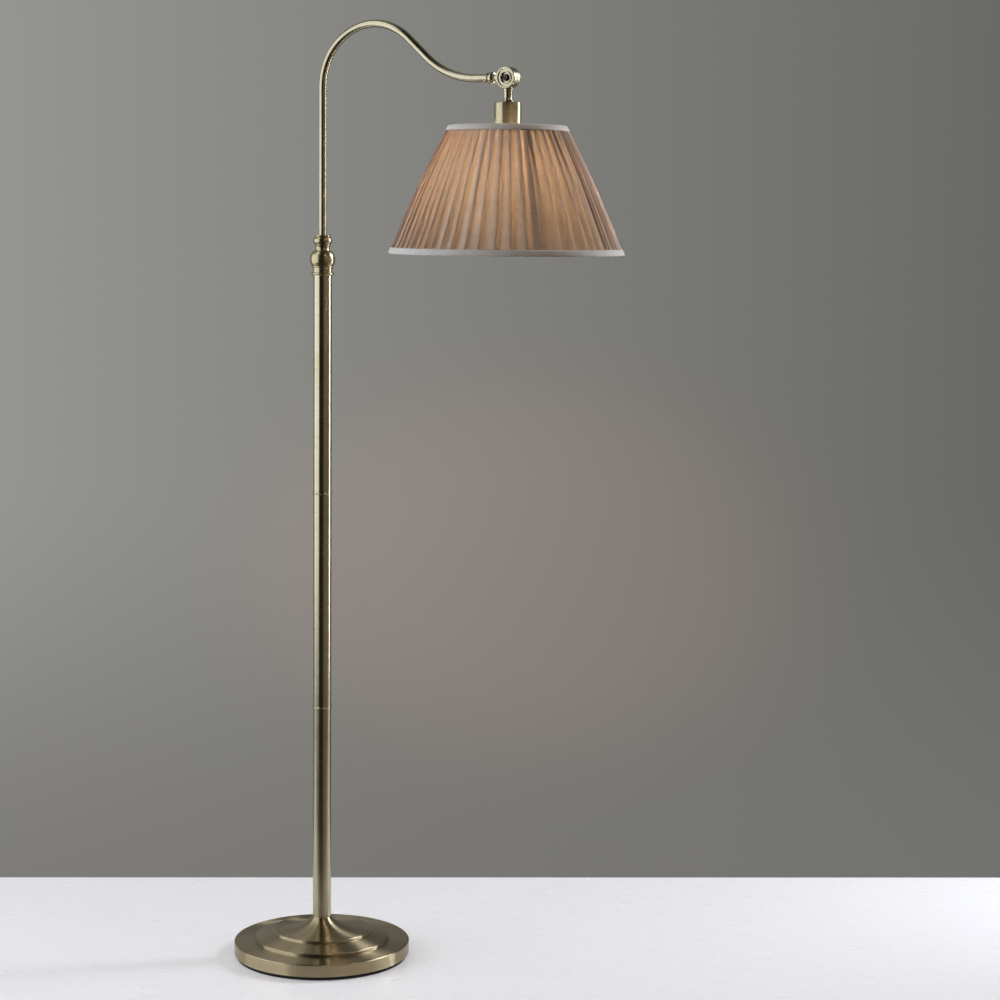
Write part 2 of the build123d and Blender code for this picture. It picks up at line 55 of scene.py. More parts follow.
# ---- places taken from the frame ------------------------------------------------------
joints = {joint["name"]: joint for joint in frame["joints"]}
HEAD = Vector(joints["head_tilt"]["pos_m"])
SHADE_LOW, SHADE_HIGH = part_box("shade_foot_trim")[0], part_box("shade_top_trim")[1]
SHADE_FOOT_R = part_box("shade_foot_trim")[1].y
SHADE_TOP_Z, SHADE_FOOT_Z = SHADE_HIGH.z, SHADE_LOW.z
SHADE_TOP_R = 88.3 * mm
SHADE_SLOPE = (SHADE_FOOT_R - SHADE_TOP_R) / (SHADE_TOP_Z - SHADE_FOOT_Z)
ACROSS = hypot(1, SHADE_SLOPE)
BULB_LOW, BULB_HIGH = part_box("bulb_globe")
BULB_R = (BULB_HIGH.y - BULB_LOW.y) / 2
BULB_CENTRE = Vector((HEAD.x, 0, BULB_LOW.z + BULB_R))


# ---- camera ---------------------------------------------------------------------------
VIEW_TURN = radians(30)
RIGHT = Vector((cos(VIEW_TURN), sin(VIEW_TURN), 0))
AHEAD = Vector((-sin(VIEW_TURN), cos(VIEW_TURN), 0))
EYE_ASIDE, EYE_BACK, EYE_HIGH = 0.2797, 3.8394, 1.1959
EYE = RIGHT * EYE_ASIDE - AHEAD * EYE_BACK + UP * EYE_HIGH
PITCH, ROLL = radians(6.787), radians(0.556)
LENS_MM, SENSOR_MM = 88.41, 36
GAZE = AHEAD * cos(PITCH) - UP * sin(PITCH)


def make_camera():
    data = bpy.data.cameras.new("view")
    data.lens, data.sensor_width = LENS_MM, SENSOR_MM
    camera = bpy.data.objects.new("view", data)
    scene.collection.objects.link(camera)
    facing = GAZE.to_track_quat("-Z", "Y").to_matrix().to_4x4()
    camera.matrix_world = Matrix.Translation(EYE) @ facing @ Matrix.Rotation(ROLL, 4, "Z")
    scene.camera = camera


# ---- building materials ---------------------------------------------------------------
def add_node(tree, kind, *sockets, out=0, **settings):
    """Add a node, set or link its first inputs in order (None skips one), return an output."""
    made = tree.nodes.new("ShaderNode" + kind)
    for key, value in settings.items():
        setattr(made, key, value)
    for place, value in zip(made.inputs, sockets):
        if isinstance(value, bpy.types.NodeSocket):
            tree.links.new(value, place)
        elif value is not None:
            place.default_value = value
    return made.outputs[out] if len(made.outputs) else None


def mix_node(tree, factor, a, b):
    """Colour between a and b."""
    made = tree.nodes.new("ShaderNodeMix")
    made.data_type = "RGBA"
    for index, value in ((0, factor), (6, a), (7, b)):
        if isinstance(value, bpy.types.NodeSocket):
            tree.links.new(value, made.inputs[index])
        elif index == 0:
            made.inputs[0].default_value = value
        else:
            made.inputs[index].default_value = (*value, 1)
    return made.outputs[2]


class Finish:
    """A procedural material under construction, with short calls for its nodes."""

    def __init__(self, name, **constants):
        self.material = bpy.data.materials.new(name)
        self.material.use_nodes = True
        self.tree = self.material.node_tree
        self.shader = self.tree.nodes["Principled BSDF"]
        for words, value in constants.items():
            self.shader.inputs[words.replace("_", " ")].default_value = value

    def add(self, kind, *sockets, **settings):
        return add_node(self.tree, kind, *sockets, **settings)

    def sum(self, a, b):
        return self.add("Math", a, b, operation="ADD")

    def times(self, a, b):
        return self.add("Math", a, b, operation="MULTIPLY")

    def ramp(self, value, low, high, to_low=0.0, to_high=1.0):
        """Stretch low..high of a value to to_low..to_high, clamped."""
        return self.add("MapRange", value, low, high, to_low, to_high)

    def mix(self, factor, a, b):
        return mix_node(self.tree, factor, a, b)

    def noise(self, where, size, detail=3.0, rough=0.5, w=None):
        """Noise with features of about the given size, read at a place in metres."""
        made = self.tree.nodes.new("ShaderNodeTexNoise")
        made.noise_dimensions = "3D" if w is None else "4D"
        self.tree.links.new(where, made.inputs["Vector"])
        if w is not None:
            self.tree.links.new(w, made.inputs["W"])
        made.inputs["Scale"].default_value = 1 / size
        made.inputs["Detail"].default_value = detail
        made.inputs["Roughness"].default_value = rough
        return made.outputs["Fac"]

    def place(self, centre=(0, 0, 0), turn=(0, 0, 0)):
        """Object coordinates seen from a centre, with the axis turned to Z."""
        made = self.tree.nodes.new("ShaderNodeMapping")
        made.vector_type = "TEXTURE"
        made.inputs["Location"].default_value = centre
        made.inputs["Rotation"].default_value = turn
        self.tree.links.new(self.add("TexCoord", out=3), made.inputs["Vector"])
        return made.outputs[0]

    def scaled(self, where, x, y, z):
        return self.add("VectorMath", where, (x, y, z), operation="MULTIPLY")

    def bump(self, height, depth, strength=1.0):
        """Raise the surface by a height value, depth in metres."""
        made = self.tree.nodes.new("ShaderNodeBump")
        made.inputs["Strength"].default_value = strength
        made.inputs["Distance"].default_value = depth
        self.tree.links.new(height, made.inputs["Height"])
        self.tree.links.new(made.outputs[0], self.shader.inputs["Normal"])

    def colour(self, value):
        self.tree.links.new(value, self.shader.inputs["Base Color"])

    def rough(self, value):
        self.tree.links.new(value, self.shader.inputs["Roughness"])


# ---- metals ---------------------------------------------------------------------------
TURN_TO_Y, TURN_TO_X = (-pi / 2, 0, 0), (0, pi / 2, 0)
QUARTER_TURN = 0.25              # lays the highlights across the brush lines


def turned_grain(finish, where, line, arc):
    """Fine rings round the Z axis: lines as far apart as line, broken up over an angle of arc."""
    split = finish.tree.nodes.new("ShaderNodeSeparateXYZ")
    finish.tree.links.new(where, split.inputs[0])
    flat = finish.add("CombineXYZ", split.outputs[0], split.outputs[1])
    radius = finish.add("VectorMath", flat, operation="LENGTH", out=1)
    around = finish.add("VectorMath", flat, operation="NORMALIZE")
    spread = finish.add("VectorMath", around, (1 / arc,) * 3, operation="MULTIPLY")
    lift = finish.times(split.outputs[2], 1 / line)
    rings = finish.add("VectorMath", spread, finish.add("CombineXYZ", 0, 0, lift), operation="ADD")
    return finish.noise(rings, 1.0, detail=2.0, rough=0.6, w=finish.times(radius, 1 / line))


def antique_brass(name, centre=(0, 0, 0), turn=(0, 0, 0), arc=0.6, spun=0.75, satin=0.2,
                  bent=False, coat=0.25, deep=(0.355, 0.315, 0.20), pale=(0.42, 0.385, 0.26)):
    """Antique brass, brushed round its turning axis, toned and lacquered."""
    finish = Finish(name, Metallic=1.0, Anisotropic=spun,
                    Anisotropic_Rotation=QUARTER_TURN if spun else 0.0,
                    Coat_Weight=coat, Coat_Roughness=0.1)
    where = finish.place(centre, turn)
    if bent:
        fine = finish.noise(where, 0.8 * mm)
        broad = finish.noise(where, 7 * mm)
    else:
        fine = turned_grain(finish, where, 0.45 * mm, arc)
        broad = turned_grain(finish, where, 3.2 * mm, arc * 2)
    cloud = finish.noise(where, 55 * mm, detail=4.0)
    specks = finish.noise(where, 1.4 * mm, detail=2.0)
    tone = finish.sum(finish.times(broad, 0.45), finish.times(cloud, 0.55))
    toned = finish.mix(finish.ramp(tone, 0.36, 0.64), deep, pale)
    worn = finish.mix(finish.ramp(fine, 0.55, 0.8, 0.0, 0.2), toned, (0.56, 0.51, 0.35))
    dark = finish.mix(finish.ramp(specks, 0.68, 0.78, 0.0, 0.12), worn, (0.18, 0.14, 0.08))
    finish.colour(dark)
    wear = finish.sum(fine, finish.times(cloud, 0.5))
    finish.rough(finish.ramp(wear, 0.45, 1.05, satin, satin + 0.08))
    finish.bump(fine, 0.01 * mm, 0.02 if bent else 0.12)
    if spun:
        tangent = finish.add("Tangent", direction_type="RADIAL", axis="Z")
        finish.tree.links.new(tangent, finish.shader.inputs["Tangent"])
    return finish.material


def turned_metal(name, light, dark, line, roughness, centre=(0, 0, 0), turn=(0, 0, 0)):
    """Machined or plated metal with faint tool rings."""
    finish = Finish(name, Metallic=1.0)
    where = finish.place(centre, turn)
    rings = turned_grain(finish, where, line, 1.5)
    cloud = finish.noise(where, 9 * mm, detail=4.0)
    finish.colour(finish.mix(finish.ramp(cloud, 0.35, 0.7), light, dark))
    finish.rough(finish.ramp(finish.sum(rings, cloud), 0.7, 1.3, roughness, roughness + 0.14))
    finish.bump(rings, 0.03 * mm, 0.5)
    return finish.material


# ---- moulded, cast and painted parts --------------------------------------------------
def grained(name, light, dark, grain, roughness, depth, cells=False, **constants):
    """A surface with an even grain: foam, rubber, moulding, ceramic or casting skin."""
    finish = Finish(name, **constants)
    where = finish.place()
    cloud = finish.noise(where, grain * 12, detail=4.0)
    skin = finish.noise(where, grain, detail=3.0, rough=0.6)
    if cells:
        made = finish.tree.nodes.new("ShaderNodeTexVoronoi")
        made.inputs["Scale"].default_value = 1 / grain
        finish.tree.links.new(where, made.inputs["Vector"])
        skin = made.outputs["Distance"]
    finish.colour(finish.mix(finish.ramp(cloud, 0.35, 0.68), light, dark))
    finish.rough(finish.ramp(finish.sum(cloud, skin), 0.6, 1.3, roughness, roughness + 0.18))
    finish.bump(skin, depth, 0.6)
    return finish.material


def frosted_globe():
    """Lit opal globe, a little redder and dimmer towards its neck."""
    finish = Finish("frosted_globe", Roughness=0.35)
    where = finish.place(tuple(BULB_CENTRE))
    height = finish.tree.nodes.new("ShaderNodeSeparateXYZ")
    finish.tree.links.new(where, height.inputs[0])
    frost = finish.noise(where, 0.8 * mm, detail=3.0)
    near_neck = finish.ramp(height.outputs[2], -BULB_R, BULB_R * 0.4)
    glow = finish.mix(near_neck, (1.0, 0.80, 0.52), (1.0, 0.66, 0.36))
    finish.colour(finish.mix(frost, (0.93, 0.89, 0.82), (0.85, 0.80, 0.72)))
    finish.tree.links.new(glow, finish.shader.inputs["Emission Color"])
    finish.shader.inputs["Emission Strength"].default_value = 7.0
    finish.bump(frost, 0.05 * mm, 0.4)
    return finish.material


# ---- cloth ----------------------------------------------------------------------------
def weave(finish, thread, slub):
    """Plain weave on the sheet's own map, which is in metres: (height, warp share, cloudiness)."""
    where = finish.add("UVMap")
    warp = finish.noise(finish.scaled(where, 1 / thread, 1 / slub, 0), 1.0, detail=2.0)
    weft = finish.noise(finish.scaled(where, 1 / slub, 1 / thread, 0), 1.0, detail=2.0)
    cloud = finish.noise(finish.scaled(where, 1, 1, 0), 22 * mm, detail=4.0)
    return finish.sum(warp, weft), warp, cloud


def cloth(name, light, dark, shine_through, share, thread=0.6 * mm, slub=14 * mm, depth=0.12 * mm):
    """Woven cloth; share of it lets light through from behind in the colour shine_through."""
    finish = Finish(name, Sheen_Weight=0.25, Sheen_Roughness=0.5, Specular_IOR_Level=0.15)
    threads, warp, cloud = weave(finish, thread, slub)
    tone = finish.sum(finish.times(threads, 0.4), finish.times(cloud, 0.3))
    shade = finish.mix(finish.ramp(tone, 0.42, 0.68), dark, light)
    finish.colour(shade)
    finish.rough(finish.ramp(warp, 0.3, 0.7, 0.78, 0.95))
    finish.bump(threads, depth, 0.7)
    if share:
        through = finish.mix(finish.ramp(tone, 0.42, 0.68), tuple(c * 0.8 for c in shine_through),
                             shine_through)
        behind = finish.add("BsdfTranslucent", through)
        both = finish.add("MixShader", share, finish.shader.outputs[0], behind)
        output = next(n for n in finish.tree.nodes if n.type == "OUTPUT_MATERIAL")
        finish.tree.links.new(both, output.inputs["Surface"])
    return finish.material


# ---- every finish by its slot ----------------------------------------------------------
def make_finishes():
    """The finish of each slot, and the turning axis of each group of brass parts."""
    brass = antique_brass("antique_brass")
    base_brass = antique_brass("antique_brass_base", spun=1.0, satin=0.27, coat=0.04,
                               deep=(0.345, 0.28, 0.165), pale=(0.41, 0.345, 0.215))
    knob_brass = antique_brass("antique_brass_finial", spun=0.4, satin=0.24, coat=0.12,
                               deep=(0.33, 0.28, 0.165), pale=(0.40, 0.35, 0.215))
    lamp_brass = antique_brass("antique_brass_holder", centre=(HEAD.x, 0, 0), spun=0.9, satin=0.33)
    disc_brass = antique_brass("antique_brass_swivel", tuple(HEAD), TURN_TO_Y, spun=0.0)
    ferrule_brass = antique_brass("antique_brass_ferrule", (0, 0, HEAD.z), TURN_TO_X, spun=0.0)
    tube_brass = antique_brass("antique_brass_arm", spun=0.0, bent=True)
    own_axis = {"base_cover": base_brass, "finial_body": knob_brass, "lock_collar": knob_brass,
                "holder_cover": lamp_brass, "knuckle_arm_half": disc_brass,
                "knuckle_lamp_half": disc_brass, "arm_ferrule": ferrule_brass,
                "arm_tube": tube_brass}
    by_slot = {
        "antique_brass": brass,
        "plain_brass": turned_metal("plain_brass", (0.80, 0.62, 0.30), (0.66, 0.49, 0.22),
                                    0.3 * mm, 0.2, (HEAD.x, 0, 0)),
        "cap_metal": turned_metal("cap_metal", (0.78, 0.78, 0.77), (0.62, 0.62, 0.62),
                                  0.4 * mm, 0.22, (HEAD.x, 0, 0)),
        "zinc_steel": turned_metal("zinc_steel", (0.66, 0.67, 0.66), (0.50, 0.51, 0.52),
                                   0.3 * mm, 0.28),
        "black_steel": turned_metal("black_steel", (0.075, 0.065, 0.055), (0.035, 0.03, 0.028),
                                    0.25 * mm, 0.24, tuple(HEAD), TURN_TO_Y),
        "foam_pad": grained("foam_pad", (0.022, 0.022, 0.022), (0.012, 0.012, 0.013),
                            1.1 * mm, 0.8, 0.3 * mm, cells=True),
        "cast_iron": grained("cast_iron", (0.10, 0.10, 0.10), (0.055, 0.055, 0.058),
                             1.6 * mm, 0.6, 0.5 * mm),
        "black_rubber": grained("black_rubber", (0.024, 0.024, 0.024), (0.014, 0.014, 0.014),
                                0.5 * mm, 0.55, 0.05 * mm),
        "white_nylon": grained("white_nylon", (0.86, 0.85, 0.80), (0.78, 0.76, 0.70),
                               0.7 * mm, 0.35, 0.03 * mm, Subsurface_Weight=0.1,
                               Subsurface_Scale=0.004),
        "black_moulding": grained("black_moulding", (0.035, 0.033, 0.032), (0.02, 0.02, 0.02),
                                  0.6 * mm, 0.28, 0.03 * mm),
        "steatite": grained("steatite", (0.84, 0.82, 0.77), (0.74, 0.71, 0.65),
                            0.5 * mm, 0.5, 0.05 * mm),
        "lead_sheath": grained("lead_sheath", (0.62, 0.52, 0.31), (0.52, 0.42, 0.24),
                               0.8 * mm, 0.45, 0.04 * mm),
        "white_wire": grained("white_wire", (0.86, 0.85, 0.83), (0.78, 0.76, 0.72),
                              2.0 * mm, 0.22, 0.06 * mm, Coat_Weight=0.4, Coat_Roughness=0.1),
        "white_moulding": grained("white_moulding", (0.89, 0.89, 0.87), (0.82, 0.81, 0.79),
                                  0.6 * mm, 0.2, 0.02 * mm),
        "frosted_globe": frosted_globe(),
        "pleated_linen": cloth("pleated_linen", (0.64, 0.545, 0.465), (0.47, 0.385, 0.315),
                               (0.84, 0.67, 0.50), 0.36),
        "linen_tape": cloth("linen_tape", (0.80, 0.775, 0.725), (0.64, 0.615, 0.57),
                            (0.5, 0.4, 0.3), 0.06, thread=0.5 * mm, slub=9 * mm),
        "white_lining": cloth("white_lining", (0.88, 0.86, 0.81), (0.80, 0.77, 0.71),
                              (0.92, 0.87, 0.78), 0.5, thread=0.35 * mm, slub=6 * mm,
                              depth=0.05 * mm),
    }
    return by_slot, own_axis


def finish_frame(by_slot, own_axis):
    """Give each part of the frame the finish of its slot."""
    for name, part in frame["nodes"].items():
        for place in part.material_slots:
            slot = place.material.name.split(".")[0]
            place.material = own_axis.get(name, by_slot[slot])


# ---- sheets of cloth --------------------------------------------------------------------
def wall(z, depth):
    """Radius of the shade's wall at a height, depth below its outer surface."""
    return SHADE_TOP_R + (SHADE_TOP_Z - z) * SHADE_SLOPE - depth * ACROSS


def on_shade(angle, radius, z):
    return Vector((HEAD.x + cos(angle) * radius, sin(angle) * radius, z))


def sheet_from_grid(name, across, along, flat, lay, closed):
    """A flat sheet as a grid, mapped in metres, with each point then laid in its place."""
    mesh = bpy.data.meshes.new(name)
    cloth_mesh = bmesh.new()
    cloth_mesh.loops.layers.uv.new("UVMap")
    bmesh.ops.create_grid(cloth_mesh, x_segments=across, y_segments=along, size=0.5,
                          calc_uvs=True)
    chart = cloth_mesh.loops.layers.uv.active
    for face in cloth_mesh.faces:
        face.smooth = True
        for loop in face.loops:
            loop[chart].uv = (loop[chart].uv.x * flat[0], loop[chart].uv.y * flat[1])
    for vert in cloth_mesh.verts:
        vert.co = lay(vert.co.x + 0.5, 0.5 - vert.co.y)
    if closed:
        bmesh.ops.remove_doubles(cloth_mesh, verts=cloth_mesh.verts, dist=0.002 * mm)
    bmesh.ops.recalc_face_normals(cloth_mesh, faces=cloth_mesh.faces)
    outward = 0.0
    for face in cloth_mesh.faces:
        middle = face.calc_center_median()
        outward += face.normal.dot(middle - Vector((HEAD.x, 0, middle.z)))
    if outward < 0:
        bmesh.ops.reverse_faces(cloth_mesh, faces=cloth_mesh.faces)
    cloth_mesh.to_mesh(mesh)
    cloth_mesh.free()
    piece = bpy.data.objects.new(name, mesh)
    scene.collection.objects.link(piece)
    return piece


def add_modifier(piece, kind, **settings):
    modifier = piece.modifiers.new(kind.lower(), kind)
    for key, value in settings.items():
        setattr(modifier, key, value)
    return modifier


def settle(piece, finish, body="lamp_head"):
    """Finish a new piece and let it ride on its body."""
    piece.data.materials.append(finish)
    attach(piece, body)
    return piece


# ---- the pleated shade -----------------------------------------------------------------
PLEATS = 62
PLEAT_CLOTH = 25.5 * mm          # cloth used by one pleat, the same from top to foot
FABRIC_LOW, FABRIC_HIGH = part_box("shade_fabric")[0].z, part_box("shade_fabric")[1].z
SLANT = (FABRIC_HIGH - FABRIC_LOW) * ACROSS
FABRIC_ROWS = 34
FABRIC_INSET = 0.9 * mm          # outer folds below the trims' outer face
LEAST_OVERLAP, MOST_OVERLAP = 2.2 * mm, 0.86     # the most is a share of the pitch
SLOPE_FROM, SLOPE_TO = 0.3, 0.8  # the part of a pleat's face that rises unevenly
PINCHED_MM, OPENED_MM, FOOT_MM = 2.3, 2.7, 2.2   # depth at the trims, added between, at the foot
LINING_MM, SLACK_MM = 4.1, 5.6   # lining below the wall at the trims, added between them
DRIFT, WAVER = 1.8 * mm, 0.7 * mm
PUFF = 2.6 * mm                  # cloth stands out between the trims
LINING_GAP = 0.9 * mm            # deepest folds stay this far in front of the lining
# One pleat in steps from its outer fold: share of the overlap, of the pitch and of the depth.
PLEAT_OUTLINE = [(0.0, 0.0, 0.08), (-0.45, 0.0, 0.40), (-1.0, 0.0, 0.75), (-0.9, 0.04, 1.0),
                 (-0.2, 0.12, 0.97), (0.0, 0.33, 0.76), (0.0, 0.51, 0.30), (0.0, 0.70, 0.05),
                 (0.0, 0.90, 0.0)]
PLEAT_STEPS = len(PLEAT_OUTLINE)


def uneven_edges(count, unevenness, seed):
    """Angles of the folds round the shade, unevenly spaced."""
    draw = random.Random(seed)
    shares = [1 + unevenness * draw.uniform(-1, 1) for _ in range(count)]
    total, angle, edges = sum(shares), 0.0, [0.0]
    for share in shares:
        angle += tau * share / total
        edges.append(angle)
    return edges


FOLDS_TOP = uneven_edges(PLEATS, 0.42, seed=3)
FOLDS_FOOT = uneven_edges(PLEATS, 0.55, seed=3)
PLEAT_DRAW = random.Random(11)
PLEAT_DEPTHS = [PLEAT_DRAW.uniform(0.65, 1.2) for _ in range(PLEATS)]
PLEAT_LOOSE = [PLEAT_DRAW.uniform(0.6, 1.3) for _ in range(PLEATS)]
PLEAT_RISE = [PLEAT_DRAW.uniform(-0.14, 0.16) for _ in range(PLEATS)]


def smooth(value):
    value = min(1.0, max(0.0, value))
    return value * value * (3 - 2 * value)


def pleat_depth(down):
    """Depth of the folds: pinched under the trims, deepest where they open near the foot."""
    free = smooth(down / 0.12) * smooth((0.985 - down) / 0.05)
    open_foot = smooth((down - 0.3) / 0.6)
    return (PINCHED_MM + free * (OPENED_MM + FOOT_MM * open_foot)) * mm


def lining_slack(down):
    """How free the lining is: nothing at the trims, all of it between them."""
    return smooth(down / 0.10) * smooth((1 - down) / 0.10)


def lining_depth(down):
    """How far the lining lies below the shade's wall: close at the trims, slack between them."""
    return (LINING_MM + SLACK_MM * lining_slack(down)) * mm


def lay_pleats(share, down):
    """Where a point of the flat fabric lies: share round the cloth, down from its top."""
    step = round(share * PLEATS * PLEAT_STEPS)
    pleat, turn = divmod(step, PLEAT_STEPS)
    pleat %= PLEATS
    z = FABRIC_HIGH + (FABRIC_LOW - FABRIC_HIGH) * down
    radius = wall(z, FABRIC_INSET)

    def fold(n):
        whole, n = divmod(n, PLEATS)
        return tau * whole + FOLDS_TOP[n] * (1 - down) + FOLDS_FOOT[n] * down

    pitch = (fold(pleat + 1) - fold(pleat)) * radius
    overlap = min(MOST_OVERLAP * pitch, max(LEAST_OVERLAP, (PLEAT_CLOTH - pitch) / 2))
    overlap_share, pitch_share, depth_share = PLEAT_OUTLINE[turn]
    rise = PLEAT_RISE[pleat] * pitch if SLOPE_FROM < pitch_share < SLOPE_TO else 0.0
    along = overlap_share * overlap + pitch_share * pitch + rise
    depth = pleat_depth(down) * PLEAT_DEPTHS[pleat] * depth_share
    drift = noise.noise(Vector((pleat * 7.3, down * 1.5, turn * 0.2)))
    waver = noise.noise(Vector((pleat * 5.1, down * 2.4, 9.0 + turn * 0.2)))
    free = smooth(down / 0.1) * smooth((1 - down) / 0.06)
    along += free * drift * DRIFT * PLEAT_LOOSE[pleat]
    depth = min(depth + free * waver * WAVER, lining_depth(down) - LINING_GAP)
    angle = fold(pleat) + along / radius
    puff = PUFF * free * sin(pi * min(1.0, down * 1.1))
    return on_shade(angle, wall(z, FABRIC_INSET + max(0.0, depth) - puff), z)


def make_fabric(finish):
    width = PLEATS * PLEAT_CLOTH
    fabric = sheet_from_grid("pleated_fabric", PLEATS * PLEAT_STEPS, FABRIC_ROWS, (width, SLANT),
                             lay_pleats, closed=True)
    add_modifier(fabric, "SUBSURF", levels=1, render_levels=1)
    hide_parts("shade_fabric")
    return settle(fabric, finish), (width, SLANT)


# ---- lining and trims -------------------------------------------------------------------
TAPE_T = 0.6 * mm
TAPE_DEEP = 7.0 * mm             # outer face to inner face of a folded tape
LINING_LAP, TAPE_LAP = 9 * mm, 13 * mm
LINING_STEPS, TAPE_STEPS = (240, 24), 420
LINING_RIPPLE, LINING_LIFT = 0.35 * mm, 0.4 * mm
PUCKER, SWAY, TAPE_LIFT = 0.22 * mm, 0.35 * mm, 0.65 * mm
PUCKER_ROOM = 0.32 * mm          # the tape lies this deep, so its puckers stay inside the rim
TAPE_INSET = 0.3 * mm            # the fold stays this far inside the rim
SEAM_ANGLE = radians(118)        # the seams lie at the back


def lay_lining(share, down):
    """Smooth lining close behind the pleats, with a lapped seam."""
    lap = LINING_LAP / SHADE_FOOT_R
    angle = SEAM_ANGLE + share * (tau + lap)
    z = FABRIC_HIGH + (FABRIC_LOW - FABRIC_HIGH) * down
    depth = lining_depth(down)
    ripple = noise.noise(Vector((cos(angle) * 3.0, sin(angle) * 3.0, down * 1.2)))
    depth += lining_slack(down) * (LINING_RIPPLE * ripple)
    over = smooth((share * (tau + lap) - tau + 0.01) / 0.02)
    return on_shade(angle, wall(z, depth) - over * LINING_LIFT, z)


def make_lining(finish):
    radius = (SHADE_TOP_R + SHADE_FOOT_R) / 2
    flat = (tau * SHADE_FOOT_R, SLANT)
    lining = sheet_from_grid("lining_sheet", *LINING_STEPS, flat, lay_lining, closed=False)
    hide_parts("shade_lining")
    return settle(lining, finish), flat, tau * radius * SLANT


def tape_path(edge_z, outer_leg, inner_leg, toward):
    """The folded tape in section, from its outer edge over the rim: (depth, height) points."""
    reach, back, inner = outer_leg * toward, inner_leg * toward, TAPE_DEEP
    return [(0.0, edge_z + reach), (0.0, edge_z + reach * 0.7), (0.0, edge_z + 3.0 * mm * toward),
            (0.35 * mm, edge_z + 1.5 * mm * toward), (1.3 * mm, edge_z + 0.4 * mm * toward),
            (2.6 * mm, edge_z), (inner - 1.6 * mm, edge_z),
            (inner - 0.5 * mm, edge_z + 0.2 * mm * toward), (inner, edge_z + 0.9 * mm * toward),
            (inner, edge_z + back * 0.6), (inner, edge_z + back)]


def make_tape(name, node, finish, edge_z, outer_leg, inner_leg, toward, seed):
    """Linen tape folded over the shade's rim, its end lapped over its start at the back."""
    path = tape_path(edge_z, outer_leg, inner_leg, toward)
    rim_r = wall(edge_z, 0)
    lap = TAPE_LAP / rim_r
    length = sum(hypot(b[0] - a[0], (b[1] - a[1]) * ACROSS) for a, b in zip(path, path[1:]))

    def lay(share, down):
        depth, z = path[round(down * (len(path) - 1))]
        sweep = share * (tau + lap)
        angle = SEAM_ANGLE + 0.1 + sweep
        round_it = Vector((cos(angle), sin(angle), seed))
        pucker = noise.noise(round_it * 22) * PUCKER
        sway = noise.noise(round_it * 9 + Vector((5, 5, 5))) * SWAY
        free_edge = 1 if down == 0 else 0
        over = smooth((sweep - tau + 0.004) / 0.012) * TAPE_LIFT
        deep = depth + PUCKER_ROOM - pucker
        return on_shade(angle, wall(z, deep) + over * (1 if depth < 3 * mm else -1),
                        z + sway * free_edge)

    flat = (rim_r * (tau + lap), length)
    tape = sheet_from_grid(name, TAPE_STEPS, len(path) - 1, flat, lay, closed=False)
    add_modifier(tape, "SUBSURF", levels=1, render_levels=1)
    add_modifier(tape, "SOLIDIFY", thickness=TAPE_T, offset=-1.0)
    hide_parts(node)
    return settle(tape, finish), flat


def make_shade(finishes):
    fabric, fabric_flat = make_fabric(finishes["pleated_linen"])
    lining, lining_flat, lining_area = make_lining(finishes["white_lining"])
    top_tape, top_flat = make_tape("top_tape", "shade_top_trim", finishes["linen_tape"],
                                   SHADE_TOP_Z - TAPE_INSET, 8.4 * mm, 5.0 * mm, -1, seed=1.0)
    foot_tape, foot_flat = make_tape("foot_tape", "shade_foot_trim", finishes["linen_tape"],
                                     SHADE_FOOT_Z + TAPE_INSET, 9.8 * mm, 5.5 * mm, 1, seed=4.0)


# ---- floor, backdrop and lights -----------------------------------------------------------
FLOOR_BACK, FLOOR_FRONT, FLOOR_SIDE, FLOOR_THICK = 0.456, 0.30, 4.0, 0.04
FLOOR_GAP = 0.2 * mm             # keeps the slab's top just below the base pad
FLOOR_TURN = radians(2.0)
CAMERA_SIDE = atan2(EYE.y, EYE.x)


def make_floor():
    """Pale table top, a little glossy; its back edge lies level behind the lamp."""
    finish = Finish("pale_floor", Roughness=0.28, Specular_IOR_Level=0.35)
    where = finish.place()
    cloud = finish.noise(where, 400 * mm)
    finish.colour(finish.mix(cloud, (0.81, 0.80, 0.80), (0.83, 0.82, 0.82)))
    finish.rough(finish.ramp(finish.noise(where, 80 * mm), 0.3, 0.7, 0.26, 0.3))
    finish.shader.inputs["Emission Color"].default_value = (1.0, 0.99, 1.0, 1)
    finish.shader.inputs["Emission Strength"].default_value = 0.22
    mesh = bpy.data.meshes.new("floor")
    slab = bmesh.new()
    bmesh.ops.create_cube(slab, size=1)
    bmesh.ops.scale(slab, vec=(2 * FLOOR_SIDE, FLOOR_BACK + FLOOR_FRONT, FLOOR_THICK),
                    verts=slab.verts)
    drop = FLOOR_THICK / 2 + FLOOR_GAP
    bmesh.ops.translate(slab, vec=(0, (FLOOR_BACK - FLOOR_FRONT) / 2, -drop), verts=slab.verts)
    turn = Matrix.Rotation(VIEW_TURN + FLOOR_TURN, 3, "Z")
    bmesh.ops.rotate(slab, matrix=turn, verts=slab.verts)
    slab.to_mesh(mesh)
    slab.free()
    mesh.materials.append(finish.material)
    floor = bpy.data.objects.new("floor", mesh)
    scene.collection.objects.link(floor)


POOL, POOL_SPREAD = (0.01, -0.145), (0.15, 0.105, 1)      # warm pool of light on the wall
FAR_SIDE = RIGHT * sin(radians(50)) - AHEAD * cos(radians(50))
HIGH_LEFT, HIGH_RIGHT = (0.305, 0.303, 0.292), (0.143, 0.142, 0.130)
LOW_LEFT, LOW_RIGHT = (0.205, 0.200, 0.186), (0.172, 0.170, 0.164)
POOL_TINT = (1.22, 1.09, 1.04)
ROOM_DARK, ROOM_WARM = (0.022, 0.021, 0.019), (0.25, 0.19, 0.14)     # only seen reflected


